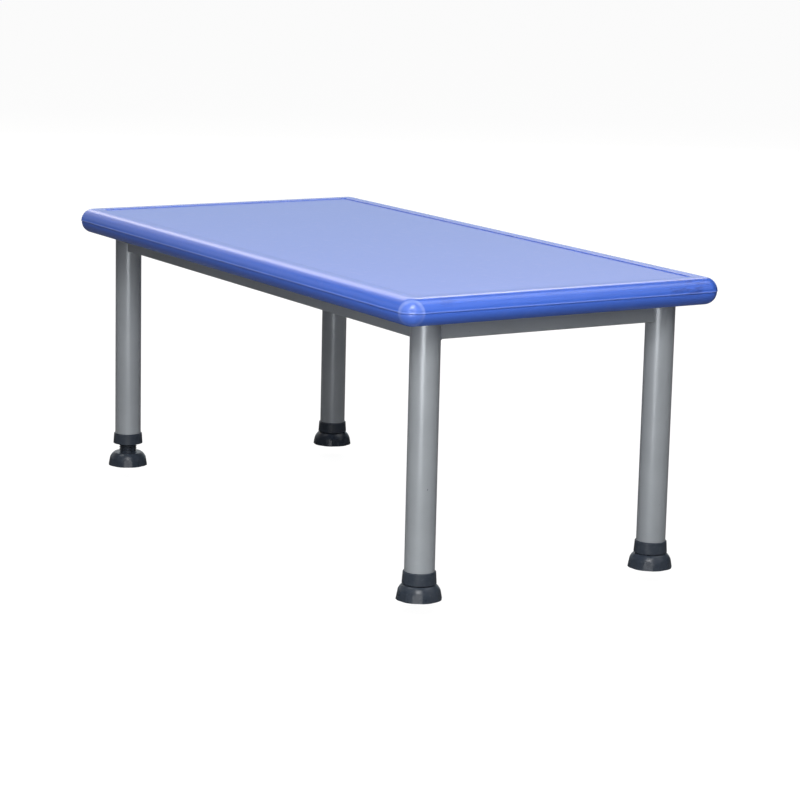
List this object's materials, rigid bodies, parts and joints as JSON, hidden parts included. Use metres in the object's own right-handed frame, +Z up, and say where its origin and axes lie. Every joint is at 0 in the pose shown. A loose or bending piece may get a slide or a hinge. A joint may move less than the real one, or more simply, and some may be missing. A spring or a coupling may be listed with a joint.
{
  "type": "table",
  "caption": "Low rectangular classroom table with a moulded plastic top, rounded edge, round tube legs under a welded rail frame and screw levelling feet.",
  "frame": {"origin": "on the floor under the middle of the top", "axes": "+X along the long side of the top, +Y across it, +Z up; front is the -Y long side and left the -X end"},
  "size_m": [1.2, 0.6, 0.487],
  "materials": {
    "top_plastic": "fine satin grain, royal blue",
    "frame_paint": "satin powder coat, mid grey",
    "bush_plastic": "satin charcoal",
    "foot_plastic": "semi-gloss charcoal",
    "pad_rubber": "matt black",
    "screw_steel": "bright zinc",
    "brass_insert": "turned"
  },
  "bodies": {
    "table": {"top_upper_shell": "top_plastic", "top_lower_shell": "top_plastic", "threaded_inserts": "brass_insert", "fixing_screws": "screw_steel", "fixing_tabs": "frame_paint", "leg_top_plates": "frame_paint", "rail_front": "frame_paint", "rail_back": "frame_paint", "rail_left": "frame_paint", "rail_right": "frame_paint", "cross_rail_left": "frame_paint", "cross_rail_right": "frame_paint", "leg_front_left": "frame_paint", "bush_front_left": "bush_plastic", "leg_front_right": "frame_paint", "bush_front_right": "bush_plastic", "leg_back_left": "frame_paint", "bush_back_left": "bush_plastic", "leg_back_right": "frame_paint", "bush_back_right": "bush_plastic"},
    "pad_front_left": {"pad_front_left": "pad_rubber"},
    "foot_front_left": {"foot_front_left": "foot_plastic"},
    "pad_front_right": {"pad_front_right": "pad_rubber"},
    "foot_front_right": {"foot_front_right": "foot_plastic"},
    "pad_back_left": {"pad_back_left": "pad_rubber"},
    "foot_back_left": {"foot_back_left": "foot_plastic"},
    "pad_back_right": {"pad_back_right": "pad_rubber"},
    "foot_back_right": {"foot_back_right": "foot_plastic"}
  },
  "joints": [
    {"name": "front_left_height", "type": "slide", "parent": "table", "child": "pad_front_left", "axis": [0, 0, -1], "range_m": [-0.0165, 0.0035]},
    {"name": "front_left_turn", "type": "hinge", "parent": "pad_front_left", "child": "foot_front_left", "pos_m": [-0.532, -0.224, 0], "axis": [0, 0, -1], "range_deg": [-1485, 315]},
    {"name": "front_right_height", "type": "slide", "parent": "table", "child": "pad_front_right", "axis": [0, 0, -1], "range_m": [0, 0.02]},
    {"name": "front_right_turn", "type": "hinge", "parent": "pad_front_right", "child": "foot_front_right", "pos_m": [0.532, -0.224, 0], "axis": [0, 0, -1], "range_deg": [0, 1800]},
    {"name": "back_left_height", "type": "slide", "parent": "table", "child": "pad_back_left", "axis": [0, 0, -1], "range_m": [0, 0.02]},
    {"name": "back_left_turn", "type": "hinge", "parent": "pad_back_left", "child": "foot_back_left", "pos_m": [-0.532, 0.224, 0], "axis": [0, 0, -1], "range_deg": [0, 1800]},
    {"name": "back_right_height", "type": "slide", "parent": "table", "child": "pad_back_right", "axis": [0, 0, -1], "range_m": [0, 0.02]},
    {"name": "back_right_turn", "type": "hinge", "parent": "pad_back_right", "child": "foot_back_right", "pos_m": [0.532, 0.224, 0], "axis": [0, 0, -1], "range_deg": [0, 1800]}
  ],
  "couplings": [
    {"joint": "front_left_turn", "follows": "front_left_height", "rad_per_m": 1570.8},
    {"joint": "front_right_turn", "follows": "front_right_height", "rad_per_m": 1570.8},
    {"joint": "back_left_turn", "follows": "back_left_height", "rad_per_m": 1570.8},
    {"joint": "back_right_turn", "follows": "back_right_height", "rad_per_m": 1570.8}
  ]
}
